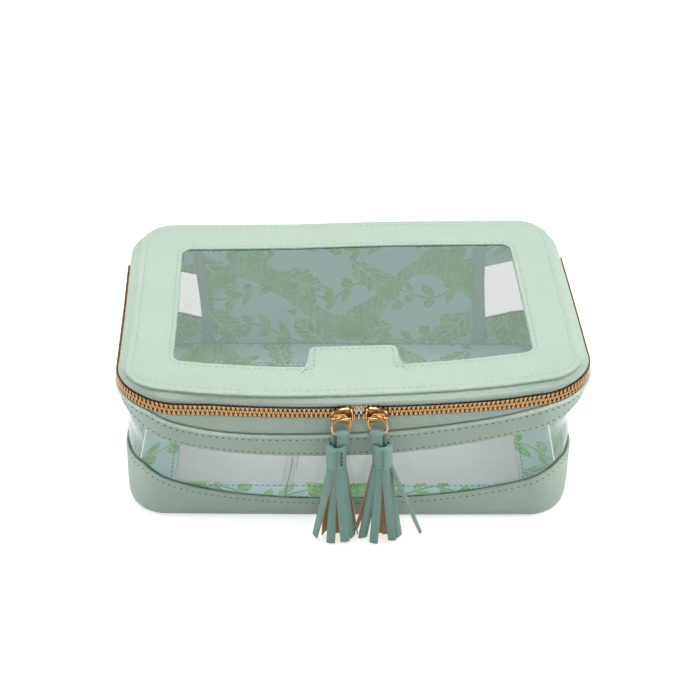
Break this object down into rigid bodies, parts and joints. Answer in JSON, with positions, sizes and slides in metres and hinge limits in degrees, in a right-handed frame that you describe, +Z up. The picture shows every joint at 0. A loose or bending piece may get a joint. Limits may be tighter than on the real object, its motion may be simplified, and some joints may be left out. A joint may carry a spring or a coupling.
{
  "type": "zip-round clear storage case",
  "caption": "Soft mint zip-round storage case with clear windows, printed lining, gold metal zip and two tassel pulls",
  "frame": {"origin": "on the table, below the middle of the whole footprint, with the hanging tassels counted in", "axes": "X runs across the width, the zip's meeting point and the tassels face -Y, the back hinge faces +Y, Z is up"},
  "size_m": [0.2634, 0.182, 0.1008],
  "materials": {
    "case_leather": "mint-green PU leather, cross-grain embossed, matte sheen",
    "clear_sheet": "clear flexible PVC sheet, glossy and see-through",
    "printed_lining": "pale blue woven lining with small green leaf sprigs",
    "board": "plain grey-white stiffening board",
    "binding_tape": "plain woven seam binding",
    "zip_tape": "sage green woven zip tape",
    "gold_metal": "light gold plated metal, polished",
    "tassel_leather": "teal suede-backed leather, tan on the back"
  },
  "bodies": {
    "tub": {"base_frame": "case_leather", "base_window": "clear_sheet", "base_stiffener": "board", "floor_lining": "printed_lining", "skirt": "case_leather", "skirt_lining": "printed_lining", "clear_wall_left": "clear_sheet", "clear_wall_right": "clear_sheet", "clear_lap_strip": "clear_sheet", "upper_band": "case_leather", "band_lining": "printed_lining", "band_welt": "case_leather", "zip_gusset": "case_leather", "back_panel": "case_leather", "back_stiffener": "board", "back_lining": "printed_lining", "hinge_strip_lower": "case_leather", "seam_binding_left": "binding_tape", "seam_binding_right": "binding_tape", "zip_tape_lower": "zip_tape", "zip_teeth_lower": "gold_metal", "zip_stops_lower": "gold_metal"},
    "lid": {"lid_frame": "case_leather", "lid_window": "clear_sheet", "lid_stiffener": "board", "lid_lining": "printed_lining", "lid_gusset": "case_leather", "lid_gusset_lining": "printed_lining", "hinge_strip_upper": "case_leather", "zip_tape_upper": "zip_tape", "zip_teeth_upper": "gold_metal", "zip_stops_upper": "gold_metal"},
    "slider_left": {"slider_left": "gold_metal"},
    "ring_left": {"ring_left": "gold_metal"},
    "tassel_left": {"tassel_strap_left": "tassel_leather", "tassel_head_left": "tassel_leather", "tassel_strands_left": "tassel_leather"},
    "slider_right": {"slider_right": "gold_metal"},
    "ring_right": {"ring_right": "gold_metal"},
    "tassel_right": {"tassel_strap_right": "tassel_leather", "tassel_head_right": "tassel_leather", "tassel_strands_right": "tassel_leather"}
  },
  "joints": [
    {"name": "lid_hinge", "type": "hinge", "parent": "tub", "child": "lid", "pos_m": [0, 0.09077, 0.0895], "axis": [-1, 0, 0], "range_deg": [0, 115]},
    {"name": "slider_left_travel", "type": "hinge", "parent": "tub", "child": "slider_left", "pos_m": [0, 0.92692, 0.0895], "axis": [0, 0, -1], "range_deg": [0, 4], "deforming": ["zip_teeth_lower", "zip_teeth_upper"]},
    {"name": "ring_left_swing", "type": "hinge", "parent": "slider_left", "child": "ring_left", "pos_m": [-0.00774, -0.0812, 0.0895], "axis": [-1, 0, 0], "range_deg": [0, 90]},
    {"name": "tassel_left_swing", "type": "hinge", "parent": "ring_left", "child": "tassel_left", "pos_m": [-0.00776, -0.08303, 0.08008], "axis": [-0.9063, -0.4226, 0], "range_deg": [0, 60]},
    {"name": "slider_right_travel", "type": "hinge", "parent": "tub", "child": "slider_right", "pos_m": [0, 0.92692, 0.0895], "axis": [0, 0, 1], "range_deg": [0, 4]},
    {"name": "ring_right_swing", "type": "hinge", "parent": "slider_right", "child": "ring_right", "pos_m": [0.01277, -0.08115, 0.0895], "axis": [-1, 0, 0], "range_deg": [0, 90]},
    {"name": "tassel_right_swing", "type": "hinge", "parent": "ring_right", "child": "tassel_right", "pos_m": [0.01279, -0.08298, 0.08008], "axis": [-0.9063, 0.4226, 0], "range_deg": [0, 60]}
  ]
}
